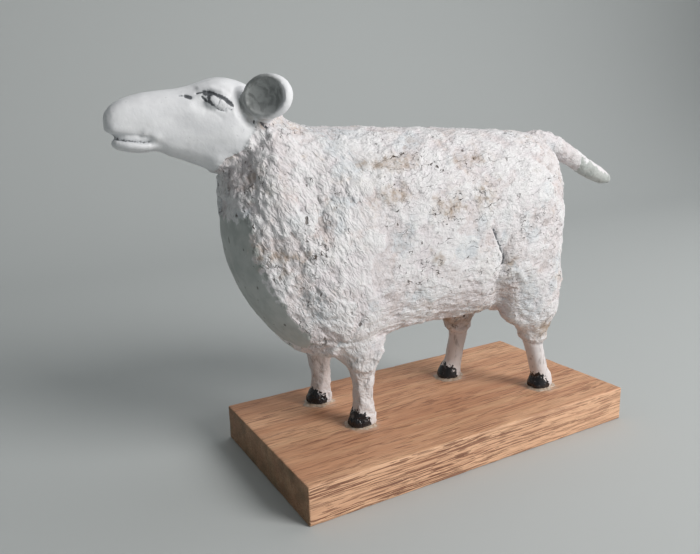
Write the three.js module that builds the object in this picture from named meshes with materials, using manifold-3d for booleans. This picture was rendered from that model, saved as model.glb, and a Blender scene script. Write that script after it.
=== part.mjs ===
// A papier-mache sheep standing on a wooden plinth.
// Millimetres, +Z up. The origin is the centre of the plinth's underside, and its long side runs along X.
// The sheep is one modelled piece, and it looks towards -X. The plinth is a plain sawn board.

import * as THREE from "three";
import { mergeVertices } from "three/addons/utils/BufferGeometryUtils.js";
import Module from "manifold-3d";

const wasm = await Module();
wasm.setup();

// ---- Driving sizes ----

const PLINTH = { length: 188, width: 95, thickness: 18, easedEdge: 0.8 };
const GLUE_LINE = 0.3; // gap between the hooves and the board
const SHEEP_TURN = THREE.MathUtils.degToRad(-6.8); // the sheep stands a little askew on its board
const SHEEP_Y = 2.7; // its spine passes this far behind the board's middle
const LEG_SPREAD = 17; // from the spine to the middle of each leg
const GIRTH_SIDES = 36; // corners of a ring round the trunk
const HEAD_SIDES = 26;
const LEG_SIDES = 14;
const FEET = {
  foreLeft: { x: -43, side: -1 },
  foreRight: { x: -52.5, side: 1 },
  hindLeft: { x: 63, side: -1, hock: 56 },
  hindRight: { x: 26.5, side: 1, hock: 31 },
};
const EYE = { x: -102.6, out: 13.2, height: 152.6, half: [4.8, 2, 2.9] };
const EAR = { x: -82.5, out: 21, height: 154, facing: 42, radius: 10.4, wall: 2, depth: 5 };

const ALONG_X = new THREE.Vector3(1, 0, 0);
const ALONG_Y = new THREE.Vector3(0, 1, 0);
const ALONG_Z = new THREE.Vector3(0, 0, 1);
const BOTH_SIDES = [-1, 1];

// ---- Helpers: smooth rows of sizes, rings and closed lofts ----

// The rows' values at place t, on a smooth curve through every row. A row is [place, value, value, ...].
function smoothRow(rows, t) {
  let i = 0;
  while (i < rows.length - 2 && t > rows[i + 1][0]) i += 1;
  const here = rows[i];
  const next = rows[i + 1];
  const before = rows[Math.max(i - 1, 0)];
  const after = rows[Math.min(i + 2, rows.length - 1)];
  const span = next[0] - here[0];
  const s = (t - here[0]) / span;
  return here.map((value, k) => {
    const rise = next[k] - value;
    const slopeHere = ((next[k] - before[k]) / (next[0] - before[0])) * span;
    const slopeNext = ((after[k] - value) / (after[0] - here[0])) * span;
    const bend = 3 * rise - 2 * slopeHere - slopeNext;
    const twist = slopeHere + slopeNext - 2 * rise;
    return value + s * (slopeHere + s * (bend + s * twist));
  });
}

// A rounded ring in the plane of u and v. A squareness of 2 is an ellipse, and more is boxier. The half
// towards v and the half away from it have one each.
function ring(centre, u, v, halfU, halfV, [upper, lower], sides) {
  return Array.from({ length: sides }, (_, i) => {
    const angle = (2 * Math.PI * i) / sides;
    const power = 2 / (Math.sin(angle) < 0 ? lower : upper);
    const eased = (value) => Math.sign(value) * Math.abs(value) ** power;
    return centre
      .clone()
      .addScaledVector(u, halfU * eased(Math.cos(angle)))
      .addScaledVector(v, halfV * eased(Math.sin(angle)));
  });
}

// A closed skin over rings that follow each other, with a fan over each end.
function skin(rings) {
  const sides = rings[0].length;
  const middle = (points) => points.reduce((sum, p) => sum.add(p), new THREE.Vector3()).divideScalar(sides);
  const points = [...rings.flat(), middle(rings[0]), middle(rings.at(-1))];
  const index = [];
  rings.slice(1).forEach((_, r) => {
    for (let i = 0; i < sides; i += 1) {
      const a = r * sides + i;
      const b = r * sides + ((i + 1) % sides);
      index.push(a, b, b + sides, a, b + sides, a + sides);
    }
  });
  const last = (rings.length - 1) * sides;
  for (let i = 0; i < sides; i += 1) {
    const j = (i + 1) % sides;
    index.push(rings.length * sides, j, i, rings.length * sides + 1, last + i, last + j);
  }
  return new THREE.BufferGeometry().setFromPoints(points).setIndex(index);
}

// Places along the rows: each row's own place, and as many more between two rows as keep them within a step.
function placesAlong(rows, step) {
  const between = rows.slice(1).flatMap(([next], i) => {
    const here = rows[i][0];
    const parts = Math.ceil(Math.abs(next - here) / step);
    return Array.from({ length: parts }, (_, k) => here + ((next - here) * (k + 1)) / parts);
  });
  return [rows[0][0], ...between];
}

// A body laid along X. A row is [x, top, bottom, half width]. A swell is [x, height, length, depth, rise]: it
// pushes both flanks outwards round its place, or inwards where its rise is negative.
function lengthwise(rows, { step, sides, squareness, swells = [] }) {
  const rings = placesAlong(rows, step).map((x) => {
    const [, top, bottom, half] = smoothRow(rows, x);
    const centre = new THREE.Vector3(x, 0, (top + bottom) / 2);
    return ring(centre, ALONG_Y, ALONG_Z, half, (top - bottom) / 2, squareness, sides).map((p) => {
      const rise = swells.reduce((sum, [atX, atZ, length, depth, most]) => {
        return sum + most * Math.exp(-(((x - atX) / length) ** 2) - ((p.z - atZ) / depth) ** 2);
      }, 0);
      return p.setY(p.y + rise * Math.tanh((3 * p.y) / half));
    });
  });
  return skin(rings);
}

// A body that stands upright round a leg's axis. A row is [height, front, back, half width].
function upright(rows, y, { step, sides, squareness }) {
  const rings = placesAlong(rows, step).map((z) => {
    const [, front, back, half] = smoothRow(rows, z);
    const centre = new THREE.Vector3((front + back) / 2, y, z);
    return ring(centre, ALONG_X, ALONG_Y, (back - front) / 2, half, squareness, sides);
  });
  return skin(rings);
}

// A tapering body along a curve. A row is [part of the way, half width, half depth].
function tapered(points, rows, sections, sides) {
  const curve = new THREE.CatmullRomCurve3(points);
  const rings = Array.from({ length: sections }, (_, i) => {
    const t = i / (sections - 1);
    const [, half, depth] = smoothRow(rows, t);
    const up = new THREE.Vector3().crossVectors(curve.getTangentAt(t), ALONG_Y).normalize();
    return ring(curve.getPointAt(t), ALONG_Y, up, half, depth, [2.2, 2.2], sides);
  });
  return skin(rings);
}

// A lump of pulp: an ellipsoid with its half sizes, turned about X, Y and Z in degrees.
function lump(half, at, turn = [0, 0, 0], fineness = 16) {
  const place = new THREE.Matrix4().compose(
    new THREE.Vector3(...at),
    new THREE.Quaternion().setFromEuler(new THREE.Euler(...turn.map(THREE.MathUtils.degToRad))),
    new THREE.Vector3(...half),
  );
  return new THREE.SphereGeometry(1, fineness, Math.round(fineness * 0.6)).applyMatrix4(place);
}

// ---- Helpers: joining and cutting closed meshes ----

function solid(geometry) {
  const bare = new THREE.BufferGeometry();
  const source = geometry.index ? geometry.toNonIndexed() : geometry;
  bare.setAttribute("position", source.getAttribute("position"));
  const merged = mergeVertices(bare, 1e-4);
  return new wasm.Manifold(
    new wasm.Mesh({
      numProp: 3,
      vertProperties: merged.attributes.position.array,
      triVerts: new Uint32Array(merged.index.array),
    }),
  );
}

const joined = (geometries) => geometries.map(solid).reduce((whole, piece) => whole.add(piece));

function geometryOf(manifold) {
  const mesh = manifold.getMesh();
  return new THREE.BufferGeometry()
    .setAttribute("position", new THREE.BufferAttribute(new Float32Array(mesh.vertProperties), 3))
    .setIndex(new THREE.BufferAttribute(mesh.triVerts, 1));
}

// ---- The sheep, in its own frame: heights are from the board, and X runs from the nose to the tail ----

// The neck, the chest, the barrel and the rump are one mass.
function trunk() {
  const rows = [
    [-101.9, 116, 99, 4],
    [-101.2, 122, 91, 9.5],
    [-99, 127, 80, 16],
    [-95, 131.5, 69.5, 22],
    [-89.5, 139, 58.5, 27.5],
    [-82, 146, 48.5, 31],
    [-74, 145, 41, 32.5],
    [-63, 142, 35, 33.5],
    [-50, 141.5, 34, 34],
    [-38, 141, 38.5, 34.5],
    [-25, 140.5, 43, 35],
    [0, 139.5, 45.5, 35],
    [25, 138, 45.5, 34.5],
    [45, 137, 44.5, 34],
    [57, 136, 45.5, 31],
    [66, 133, 49, 27],
    [72, 128, 56, 21.5],
    [76, 119, 66, 13.5],
    [77.5, 108, 80, 5.5],
  ];
  const swells = [
    [-58, 72, 20, 24, 2], // shoulder
    [-70, 118, 9, 14, -3], // hollow behind the neck
    [25, 76, 3.5, 20, -1.6], // crease in front of the thigh
    [33, 52, 9, 8, -3], // fold of the groin
    [5, 66, 26, 16, 1.2], // belly
  ];
  return lengthwise(rows, { step: 8, sides: GIRTH_SIDES, squareness: [2.3, 2.8], swells });
}

// The thigh lies over its own leg, so the two thighs are a step apart.
function thigh({ side, hock }) {
  return lump([21, 10.5, 29], [20 + hock / 2, side * 20.5, 65], [side * 3, -4, side * 8], 24);
}

function head() {
  const muzzleToNape = [
    [-146.6, 147.5, 142, 4],
    [-146, 149.4, 141, 6.2],
    [-143.8, 152, 140, 8],
    [-139, 154.8, 139.3, 9.2],
    [-132, 156.8, 138.2, 10],
    [-128, 157.4, 134.2, 10.5],
    [-122.5, 158, 131, 11.2],
    [-117, 158.6, 128.9, 11.9],
    [-111, 160, 126.3, 12.8],
    [-104, 162.4, 124, 13.8],
    [-97, 162.8, 123.5, 15],
    [-89, 160.5, 122, 15.8],
    [-81, 155, 122, 15],
    [-74, 148, 125, 12],
    [-70, 143, 130, 8],
  ];
  const swells = [
    [-102, 160, 8, 4, 2.4], // brow
    [-105, 153, 8, 2.6, -1], // eye socket
    [-95, 134, 10, 8, 1.6], // cheek
    [-118, 143, 10, 7, -0.6], // hollow of the cheek
  ];
  const jaw = [
    [-144.4, 139.5, 136.5, 3.5],
    [-143, 140.8, 135, 6],
    [-139.5, 141.4, 133.8, 7.8],
    [-134, 141.4, 133, 8.3],
    [-130, 141, 133.4, 8],
    [-126, 139.6, 133, 6.8],
    [-120, 137, 132, 4],
  ];
  return [
    lengthwise(muzzleToNape, { step: 4, sides: HEAD_SIDES, squareness: [2.3, 2.2], swells }),
    lengthwise(jaw, { step: 4, sides: 20, squareness: [2.2, 2.2] }),
  ];
}

function eyeball(side) {
  return lump(EYE.half, [EYE.x, side * EYE.out, EYE.height], [side * 14, 4, side * 8], 14);
}

function earRoot(side) {
  const at = [EAR.x + 1.5, side * (EAR.out - 6), EAR.height - 4];
  return lump([5.5, 7.5, 6.5], at, [side * -30, 0, side * 20]);
}

// A round cup that opens forwards and outwards, and the hollow that is cut from it.
function earCup(side) {
  const turn = [side * 8, 0, side * EAR.facing];
  const facing = THREE.MathUtils.degToRad(EAR.facing);
  const outwards = new THREE.Vector3(-Math.sin(facing), side * Math.cos(facing), 0);
  const at = new THREE.Vector3(EAR.x, side * EAR.out, EAR.height);
  const inside = at.clone().addScaledVector(outwards, EAR.depth * 0.72);
  const inner = EAR.radius - EAR.wall;
  const cup = lump([EAR.radius, EAR.depth, EAR.radius * 0.95], at.toArray(), turn, 22);
  const hollow = lump([inner, EAR.depth, inner * 0.95], inside.toArray(), turn, 18);
  return [cup, hollow];
}

// A foreleg is a post that widens into the chest.
function foreleg({ x, side }) {
  const rows = [
    [1, x - 5, x + 5.4, 4.9],
    [12, x - 5.2, x + 5.2, 4.8],
    [22, x - 5.4, x + 5.6, 5.2],
    [30, x - 7.5, x + 7.5, 6.6],
    [39, x - 12, x + 10.5, 8.8],
    [50, x - 13, x + 12, 9],
    [62, x - 8, x + 8, 6],
  ];
  return upright(rows, side * LEG_SPREAD, { step: 5, sides: LEG_SIDES, squareness: [2.1, 2.1] });
}

// A hind leg leans from its foot to its hock, and it widens from there into the thigh.
function hindLeg({ x, side, hock }) {
  const shin = x + (hock - x) * 0.5;
  const rows = [
    [1, x - 4.8, x + 5.2, 4.7],
    [15, shin - 4.6, shin + 5, 4.6],
    [27, hock - 5.2, hock + 5.8, 5],
    [35, hock - 9.5, hock + 9, 7],
    [45, hock - 15, hock + 13.5, 9.4],
    [58, hock - 16, hock + 15, 9.6],
    [72, hock - 10, hock + 10, 6],
  ];
  return upright(rows, side * LEG_SPREAD, { step: 5, sides: LEG_SIDES, squareness: [2.1, 2.1] });
}

// A hoof reaches forwards of its leg, and its toe is rounded.
function hoof({ x, side }) {
  const rows = [
    [GLUE_LINE, x - 8.2, x + 5.6, 5.8],
    [2.5, x - 8, x + 5.6, 5.6],
    [5.5, x - 6.8, x + 5.3, 5.1],
    [8.5, x - 5, x + 4.8, 4.6],
  ];
  return upright(rows, side * LEG_SPREAD, { step: 3, sides: LEG_SIDES, squareness: [2.3, 2.3] });
}

function tail() {
  const curve = [
    [55, 0, 129],
    [66, 0, 131.2],
    [77, 0, 130],
    [88, 0, 125],
    [99, 0, 118.6],
    [109, 0, 112.6],
    [119, 0, 106.6],
  ].map((p) => new THREE.Vector3(...p));
  const rows = [
    [0, 7, 4.5],
    [0.3, 6, 5.6],
    [0.5, 5, 5.2],
    [0.8, 4.5, 4.4],
    [0.94, 3.6, 3.6],
    [1, 1.6, 1.6],
  ];
  return tapered(curve, rows, 16, 12);
}

function sheepGeometry() {
  const { foreLeft, foreRight, hindLeft, hindRight } = FEET;
  const mass = joined([
    trunk(),
    tail(),
    ...head(),
    ...BOTH_SIDES.flatMap((side) => [eyeball(side), earRoot(side)]),
    ...[foreLeft, foreRight].map(foreleg),
    ...[hindLeft, hindRight].flatMap((foot) => [thigh(foot), hindLeg(foot)]),
    ...Object.values(FEET).map(hoof),
  ]);
  const withEars = BOTH_SIDES.map(earCup).reduce((body, [cup, hollow]) => {
    return body.add(solid(cup)).subtract(solid(hollow));
  }, mass);
  return geometryOf(withEars);
}

// ---- The plinth: a board with lightly eased edges ----

function plinthGeometry() {
  const { length, width, thickness, easedEdge } = PLINTH;
  const x = length / 2 - easedEdge;
  const y = width / 2 - easedEdge;
  const outline = new THREE.Shape([
    new THREE.Vector2(-x, -y),
    new THREE.Vector2(x, -y),
    new THREE.Vector2(x, y),
    new THREE.Vector2(-x, y),
  ]);
  return new THREE.ExtrudeGeometry(outline, {
    depth: thickness - 2 * easedEdge,
    bevelEnabled: true,
    bevelSegments: 1,
    bevelSize: easedEdge,
    bevelThickness: easedEdge,
  }).translate(0, 0, easedEdge);
}

// ---- The model ----

const paintedPulp = new THREE.MeshStandardMaterial({ color: 0xe4e0dc, roughness: 0.75, metalness: 0 });
const openGrainWood = new THREE.MeshStandardMaterial({ color: 0xb5805a, roughness: 0.6, metalness: 0 });

const sheep = new THREE.Mesh(sheepGeometry(), paintedPulp);
sheep.name = "sheep";

const plinth = new THREE.Mesh(plinthGeometry(), openGrainWood);
plinth.name = "plinth";

const standing = new THREE.Group();
standing.position.set(0, SHEEP_Y, PLINTH.thickness);
standing.rotation.z = SHEEP_TURN;
standing.add(sheep);

const model = new THREE.Group();
model.add(plinth, standing);

export default model;
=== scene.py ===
# %% [markdown]
# # A papier-mache sheep on its board
#
# This lesson dresses a finished solid model. The solids say where everything is: a sheep in one piece,
# and the board that it stands on. Here they get what the solids leave out: the crumbly fleece of torn
# and pulped paper, the smooth painted face, the inked eyes, the black hooves and the open grain of the
# wood.
#
# Everything is in metres. X runs along the board from the head end to the tail end, Y across it, and Z
# is up.

import math

import bmesh
import bpy
import numpy as np
from mathutils import Matrix, Vector
from mathutils.noise import noise as noise_at


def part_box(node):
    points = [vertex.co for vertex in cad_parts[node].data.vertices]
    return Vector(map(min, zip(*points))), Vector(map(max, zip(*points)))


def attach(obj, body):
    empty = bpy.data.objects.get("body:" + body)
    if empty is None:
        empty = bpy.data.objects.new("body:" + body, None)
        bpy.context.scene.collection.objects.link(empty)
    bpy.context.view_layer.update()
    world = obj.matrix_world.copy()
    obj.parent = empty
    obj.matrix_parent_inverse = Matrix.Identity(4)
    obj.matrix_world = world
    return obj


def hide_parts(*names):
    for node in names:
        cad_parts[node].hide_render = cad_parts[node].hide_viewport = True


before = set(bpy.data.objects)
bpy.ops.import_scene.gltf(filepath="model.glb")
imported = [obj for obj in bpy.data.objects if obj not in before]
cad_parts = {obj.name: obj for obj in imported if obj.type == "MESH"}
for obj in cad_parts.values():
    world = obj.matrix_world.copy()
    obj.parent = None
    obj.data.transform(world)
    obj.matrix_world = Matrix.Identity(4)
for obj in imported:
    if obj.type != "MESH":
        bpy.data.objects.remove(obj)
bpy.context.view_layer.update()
MM = 0.001
scene = bpy.context.scene

# %% [markdown]
# ## The camera
#
# The camera comes first, so that every later step can be looked at from the view that matters. It
# stands low in front of the sheep's left shoulder. It could be aimed with a Track To constraint, but
# this view has a small roll, and writing the three axes into the camera's matrix keeps it exactly.

# %% Place the camera from its direction, distance and roll
VIEW_AZIMUTH = math.radians(-29.37)
VIEW_ELEVATION = math.radians(13.21)
VIEW_ROLL = math.radians(-1.59)
VIEW_DISTANCE = 313.4 * MM
VIEW_TARGET = Vector((-45.2, 0, 89.5)) * MM
SENSOR_WIDTH = 36
LENS_LENGTH = 34.01

back = Vector(
    (
        math.sin(VIEW_AZIMUTH) * math.cos(VIEW_ELEVATION),
        -math.cos(VIEW_AZIMUTH) * math.cos(VIEW_ELEVATION),
        math.sin(VIEW_ELEVATION),
    )
)
level = Vector((math.cos(VIEW_AZIMUTH), math.sin(VIEW_AZIMUTH), 0))
rolled = Matrix.Rotation(VIEW_ROLL, 3, back)
right = rolled @ level
up = rolled @ back.cross(level)
view_axes = Matrix((right, up, back)).transposed().to_4x4()

camera = bpy.data.objects.new("camera", bpy.data.cameras.new("camera"))
camera.data.sensor_width = SENSOR_WIDTH
camera.data.lens = LENS_LENGTH
camera.data.clip_start = 10 * MM
camera.matrix_world = Matrix.Translation(VIEW_TARGET + back * VIEW_DISTANCE) @ view_axes
scene.collection.objects.link(camera)
scene.camera = camera
print("camera at", [round(v, 3) for v in camera.matrix_world.translation])

# %% [markdown]
# ## The floor
#
# A studio floor is a roll of paper that sweeps up behind the object, so that no horizon cuts the
# picture. A plane and a wall would do, but their corner would show as a line. So the floor is one strip
# whose side view is a straight, a quarter of a circle and another straight.

# %% Make the floor with its sweep
FLOOR_FRONT = -3.0
FLOOR_BACK = 1.0
FLOOR_HEIGHT = 2.5
FLOOR_RADIUS = 0.5
FLOOR_HALF_WIDTH = 3.0
SWEEP_STEPS = 12
PAPER_GREY = (0.52, 0.54, 0.535, 1)


def link(name, mesh):
    made = bpy.data.objects.new(name, mesh)
    scene.collection.objects.link(made)
    return made


def floor_sweep():
    profile = [(FLOOR_FRONT, 0.0), (FLOOR_BACK - FLOOR_RADIUS, 0.0)]
    for i in range(1, SWEEP_STEPS + 1):
        angle = math.pi / 2 * i / SWEEP_STEPS
        y = FLOOR_BACK - FLOOR_RADIUS + FLOOR_RADIUS * math.sin(angle)
        profile.append((y, FLOOR_RADIUS * (1 - math.cos(angle))))
    profile.append((FLOOR_BACK, FLOOR_HEIGHT))
    points = [(x, y, z) for y, z in profile for x in (-FLOOR_HALF_WIDTH, FLOOR_HALF_WIDTH)]
    faces = [(2 * i, 2 * i + 1, 2 * i + 3, 2 * i + 2) for i in range(len(profile) - 1)]
    mesh = bpy.data.meshes.new("floor")
    mesh.from_pydata(points, [], faces)
    mesh.shade_smooth()
    return link("floor", mesh)


floor = floor_sweep()
floor_paper = bpy.data.materials.new("floor_paper")
floor_paper.use_nodes = True
paper_shader = floor_paper.node_tree.nodes["Principled BSDF"]
paper_shader.inputs["Base Color"].default_value = PAPER_GREY
paper_shader.inputs["Roughness"].default_value = 0.85
floor.data.materials.append(floor_paper)
print("floor faces:", len(floor.data.polygons))

# %% [markdown]
# ## The lights
#
# White on pale grey is hard to light. One soft light from the right and in front, like a window, models
# the flank and leaves the chest and the board's left end in shade. A weak, wide one overhead and a
# bluish-grey surround fill those shades. The third light washes the backdrop behind the sheep. Each
# could be placed by its own coordinates, but a direction and a distance from what it lights say more
# plainly what it is for.

# %% Hang the lights and set the surround
SHEEP_MIDDLE = (0, 0, 0.08)
BACKDROP_SPOT = (0.4, 1.0, 0.35)

# name: (direction, distance, size, watts, colour, what it is aimed at)
LIGHTS = {
    "window": ((0.46, -0.81, 0.51), 1.3, 0.7, 15.3, (1.0, 0.985, 0.97), SHEEP_MIDDLE),
    "ceiling": ((-0.1, 0.25, 1.0), 1.5, 1.6, 1.6, (0.97, 0.985, 1.0), SHEEP_MIDDLE),
    "wall wash": ((0.6, -0.6, 1.0), 1.3, 1.8, 6.2, (0.99, 0.99, 1.0), BACKDROP_SPOT),
}

for name, (toward, distance, size, power, tint, aim) in LIGHTS.items():
    lamp = bpy.data.lights.new(name, "AREA")
    lamp.shape = "DISK"
    lamp.size = size
    lamp.energy = power
    lamp.color = tint
    hung = link(name, lamp)
    direction = Vector(toward).normalized()
    hung.location = Vector(aim) + direction * distance
    hung.rotation_euler = direction.to_track_quat("Z", "Y").to_euler()

surround = bpy.data.worlds.new("surround")
surround.use_nodes = True
surround.node_tree.nodes["Background"].inputs["Color"].default_value = (0.86, 0.93, 0.95, 1)
surround.node_tree.nodes["Background"].inputs["Strength"].default_value = 0.16
scene.world = surround
scene.view_settings.view_transform = "Standard"
print("lights:", list(LIGHTS))

# %% [markdown]
# ## The sheep's skin
#
# The real sheep is one lump of pulp, pressed on with fingers and a knife. The solid model has the same
# masses, but they meet in creases and its facets are several millimetres wide. Sculpting each muscle
# again would waste them. Instead a copy is wrapped in an even skin of small faces with a voxel Remesh.
#
# A voxel Remesh has one size of face everywhere, and the head needs finer ones than the flank. So the
# copy is first looked at through a magnifying glass: everything round the head is pushed away from its
# middle until the head is 1.7 times as large. Then it is wrapped, and the glass is taken away again.

# %% Name the places on the sheep, in its own frame
BOARD_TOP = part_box("plinth")[1].z
SHEEP_TURN = math.radians(-6.8)
SHEEP_ORIGIN = np.array((0, 2.7 * MM, BOARD_TOP))
LEG_SPREAD = 17
# name: (place along the sheep, side), with the sheep's left at -1
FEET = {"fore_left": (-43, -1), "fore_right": (-52.5, 1), "hind_left": (63, -1), "hind_right": (26.5, 1)}
EAR_CENTRE = (-82.5, 21, 154)
EAR_FACING = math.radians(42)
EAR_AXIS = np.array((-math.sin(EAR_FACING), math.cos(EAR_FACING), 0))
EAR_ACROSS = np.array((math.cos(EAR_FACING), math.sin(EAR_FACING), 0))

turn = np.array(Matrix.Rotation(SHEEP_TURN, 3, "Z"))


def to_sheep(points):
    """Points of the scene in the sheep's own frame, in millimetres: x from nose to tail, z from the board."""
    return (points - SHEEP_ORIGIN) @ turn / MM


def to_scene(own):
    return own * MM @ turn.T + SHEEP_ORIGIN


def folded(own):
    """The sheep's own frame with its two sides laid on each other, so that one set of sizes serves both."""
    return np.column_stack((own[:, 0], np.abs(own[:, 1]), own[:, 2]))


def unfolded(move, own):
    """A move that was worked out on the folded sheep, turned to the side that each point is on."""
    ones = np.ones(len(own))
    return move * np.column_stack((ones, np.sign(own[:, 1]), ones))


print("the sheep stands on the board at z =", round(BOARD_TOP, 4))

# %% Read and write a mesh as arrays
def points_of(mesh):
    found = np.empty(len(mesh.vertices) * 3)
    mesh.vertices.foreach_get("co", found)
    return found.reshape(-1, 3)


def move_points(mesh, points):
    mesh.vertices.foreach_set("co", points.ravel())
    mesh.update()


def normals_of(mesh):
    found = np.empty(len(mesh.vertices) * 3, np.float32)
    mesh.vertex_normals.foreach_get("vector", found)
    return found.reshape(-1, 3).astype(float)


def pairs_of(mesh):
    found = np.empty(len(mesh.edges) * 2, np.int32)
    mesh.edges.foreach_get("vertices", found)
    return found.reshape(-1, 2)


def store(mesh, name, values):
    layer = mesh.attributes.new(name, "FLOAT", "POINT")
    layer.data.foreach_set("value", np.ascontiguousarray(values, np.float32))


def smoothstep(low, high, value):
    t = np.clip((value - low) / (high - low), 0, 1)
    return t * t * (3 - 2 * t)


def triangles(mesh):
    return sum(len(face.vertices) - 2 for face in mesh.polygons)


def finished(obj):
    """The object's mesh with its modifiers applied, and the modifiers gone."""
    bpy.context.view_layer.update()
    depsgraph = bpy.context.evaluated_depsgraph_get()
    mesh = bpy.data.meshes.new_from_object(obj.evaluated_get(depsgraph), depsgraph=depsgraph)
    obj.modifiers.clear()
    obj.data = mesh
    return mesh


def made_from(shape, name):
    mesh = bpy.data.meshes.new(name)
    shape.to_mesh(mesh)
    shape.free()
    return link(name, mesh)


print("the solid sheep has", triangles(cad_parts["sheep"].data), "triangles")

# %% Copy the solid sheep and hold the magnifying glass over its head
SKIN_STEP = 1.3 * MM
WELD = 0.001 * MM
GLASS_CENTRE = np.array((-108.0, 0, 149))
GLASS_RADIUS = 43
GLASS_POWER = 1.7
GLASS_PUSH = GLASS_RADIUS * (GLASS_POWER - 1)


def merged_copy(node, name):
    shape = bmesh.new()
    shape.from_mesh(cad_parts[node].data)
    bmesh.ops.remove_doubles(shape, verts=shape.verts, dist=WELD)
    return made_from(shape, name)


def pushed(own, new_reach):
    away = own - GLASS_CENTRE
    reach = np.maximum(np.linalg.norm(away, axis=1, keepdims=True), 1e-6)
    return GLASS_CENTRE + away * new_reach(reach) / reach


def under_glass(own):
    return pushed(own, lambda reach: np.where(reach < GLASS_RADIUS, reach * GLASS_POWER, reach + GLASS_PUSH))


def without_glass(own):
    limit = GLASS_RADIUS * GLASS_POWER
    return pushed(own, lambda reach: np.where(reach < limit, reach / GLASS_POWER, reach - GLASS_PUSH))


sheep = merged_copy("sheep", "sheep_pulp")
move_points(sheep.data, to_scene(under_glass(to_sheep(points_of(sheep.data)))))
wrap = sheep.modifiers.new("even skin", "REMESH")
wrap.mode = "VOXEL"
wrap.voxel_size = SKIN_STEP
skin = finished(sheep)
move_points(skin, to_scene(without_glass(to_sheep(points_of(skin)))))
print("even skin:", len(skin.vertices), "points")

# %% [markdown]
# ## Relaxing the skin
#
# The skin still shows the facets of the solid. Taubin's way of relaxing moves every point towards its
# neighbours and then back by a little more, so the bumps go and thin legs don't shrink. Everything gets
# a few rounds, the ears a little less than the rest, because their rims are as thin as the facets. The
# fleece then gets many more, which softens the creases between its masses. The mouth, too, gets many
# rounds, because its slit is cut again later and finer.

# %% Know the ears, and where the smooth head ends
EAR_RADIUS = (12.4, 11.2)
EAR_HALF_THICKNESS = (7.5, 5.5)
HEAD_BLEND = 2
# height above the board: how far along the sheep the smooth head comes out of the fleece
HEAD_EDGE = {
    110: -113,
    123: -105.5,
    126: -103.5,
    129: -101,
    133: -93.5,
    138: -91,
    143: -85,
    147: -83,
    151: -80,
    157: -76,
    166: -73,
}


def ear_reach(own, shift=(0, 0, 0)):
    """How far points lie along an ear's axis, and how far beside it."""
    from_ear = folded(own) - EAR_CENTRE - shift
    along = from_ear @ EAR_AXIS
    return along, np.linalg.norm(from_ear - along[:, None] * EAR_AXIS, axis=1)


def on_ear(own):
    along, beside = ear_reach(own)
    return smoothstep(*EAR_RADIUS, beside) * smoothstep(*EAR_HALF_THICKNESS, np.abs(along))


def head_edge(own):
    """How far a point lies in front of the edge where the smooth head comes out of the fleece."""
    return np.interp(own[:, 2], list(HEAD_EDGE), list(HEAD_EDGE.values())) - own[:, 0]


own = to_sheep(points_of(skin))
smooth_head = np.maximum(smoothstep(-HEAD_BLEND, HEAD_BLEND, head_edge(own)), on_ear(own))
print("points on the smooth head:", int((smooth_head > 0.5).sum()), "of", len(own))

# %% Relax everything a little, and the fleece and the mouth a lot
MOUTH_BACK = (-120, -125)
MOUTH_HEIGHT = 139.5
MOUTH_REACH = (8, 5)


def relaxed(points, pairs, weight, rounds, inwards=0.5, outwards=-0.52):
    a, b = pairs.T
    count = np.bincount(pairs.ravel(), minlength=len(points))[:, None]
    for step in (inwards, outwards) * rounds:
        sums = [
            np.bincount(a, points[b, k], len(points)) + np.bincount(b, points[a, k], len(points))
            for k in range(3)
        ]
        points = points + step * weight[:, None] * (np.stack(sums, 1) / count - points)
    return points


points, pairs = points_of(skin), pairs_of(skin)
points = relaxed(points, pairs, 1 - 0.25 * on_ear(own), rounds=10)
points = relaxed(points, pairs, 1 - smooth_head, rounds=40)
mouth = smoothstep(*MOUTH_BACK, own[:, 0]) * smoothstep(*MOUTH_REACH, np.abs(own[:, 2] - MOUTH_HEIGHT))
points = relaxed(points, pairs, mouth, rounds=70, outwards=-0.5)
furthest = float(np.abs(to_sheep(points) - own).max())
print("relaxed", len(points), "points, the furthest by", round(furthest, 2), "mm")

# %% [markdown]
# ## Small corrections of the masses
#
# The rump and the throat of the real sheep lie a little further in than the solid ones, its right ear
# hangs lower, and the hollows of its ears are shallow. New solids would be the other way, but these are
# only a few millimetres, and a push that fades out on every side moves them without a seam.

# %% Tuck in the rump and the throat, lower the right ear and fill the ears
RUMP_TUCK = 4.2
RUMP_START = (50, 88)
RUMP_END = (124, 100)
TORSO_BOTTOM = (42, 56)
THROAT_TUCK = 1.8
THROAT_BACK = (-84, -98)
THROAT_HEIGHT = 116
THROAT_REACH = 15
FAR_EAR_DROP = 2.6
EAR_REACH = (16, 12)
EAR_RIM = 2.6
EAR_FILL = 0.45
HOLLOW_RADIUS = (9.5, 6)
HOLLOW_BOTTOM = (-3, -1.8)


def tucked(own):
    own = own.copy()
    rump = smoothstep(*RUMP_START, own[:, 0]) * smoothstep(*RUMP_END, own[:, 0])
    own[:, 0] -= RUMP_TUCK * rump * smoothstep(*TORSO_BOTTOM, own[:, 2])
    throat = np.exp(-(((own[:, 2] - THROAT_HEIGHT) / THROAT_REACH) ** 2))
    own[:, 0] += THROAT_TUCK * (smoothstep(*THROAT_BACK, own[:, 0]) * throat)
    near_ear = smoothstep(*EAR_REACH, np.linalg.norm(folded(own) - EAR_CENTRE, axis=1))
    own[:, 2] -= FAR_EAR_DROP * near_ear * (own[:, 1] > 0)
    return own


def filled_ears(own):
    """The ears' hollows drawn towards the plane of the rim."""
    along, beside = ear_reach(own)
    amount = EAR_FILL * smoothstep(*HOLLOW_RADIUS, beside) * smoothstep(*HOLLOW_BOTTOM, along)
    return own + unfolded((amount * (EAR_RIM - along))[:, None] * EAR_AXIS, own)


own = filled_ears(tucked(to_sheep(points)))
move_points(skin, to_scene(own))
print("the sheep is", round(float(np.ptp(own[:, 0])), 1), "mm long")

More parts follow.
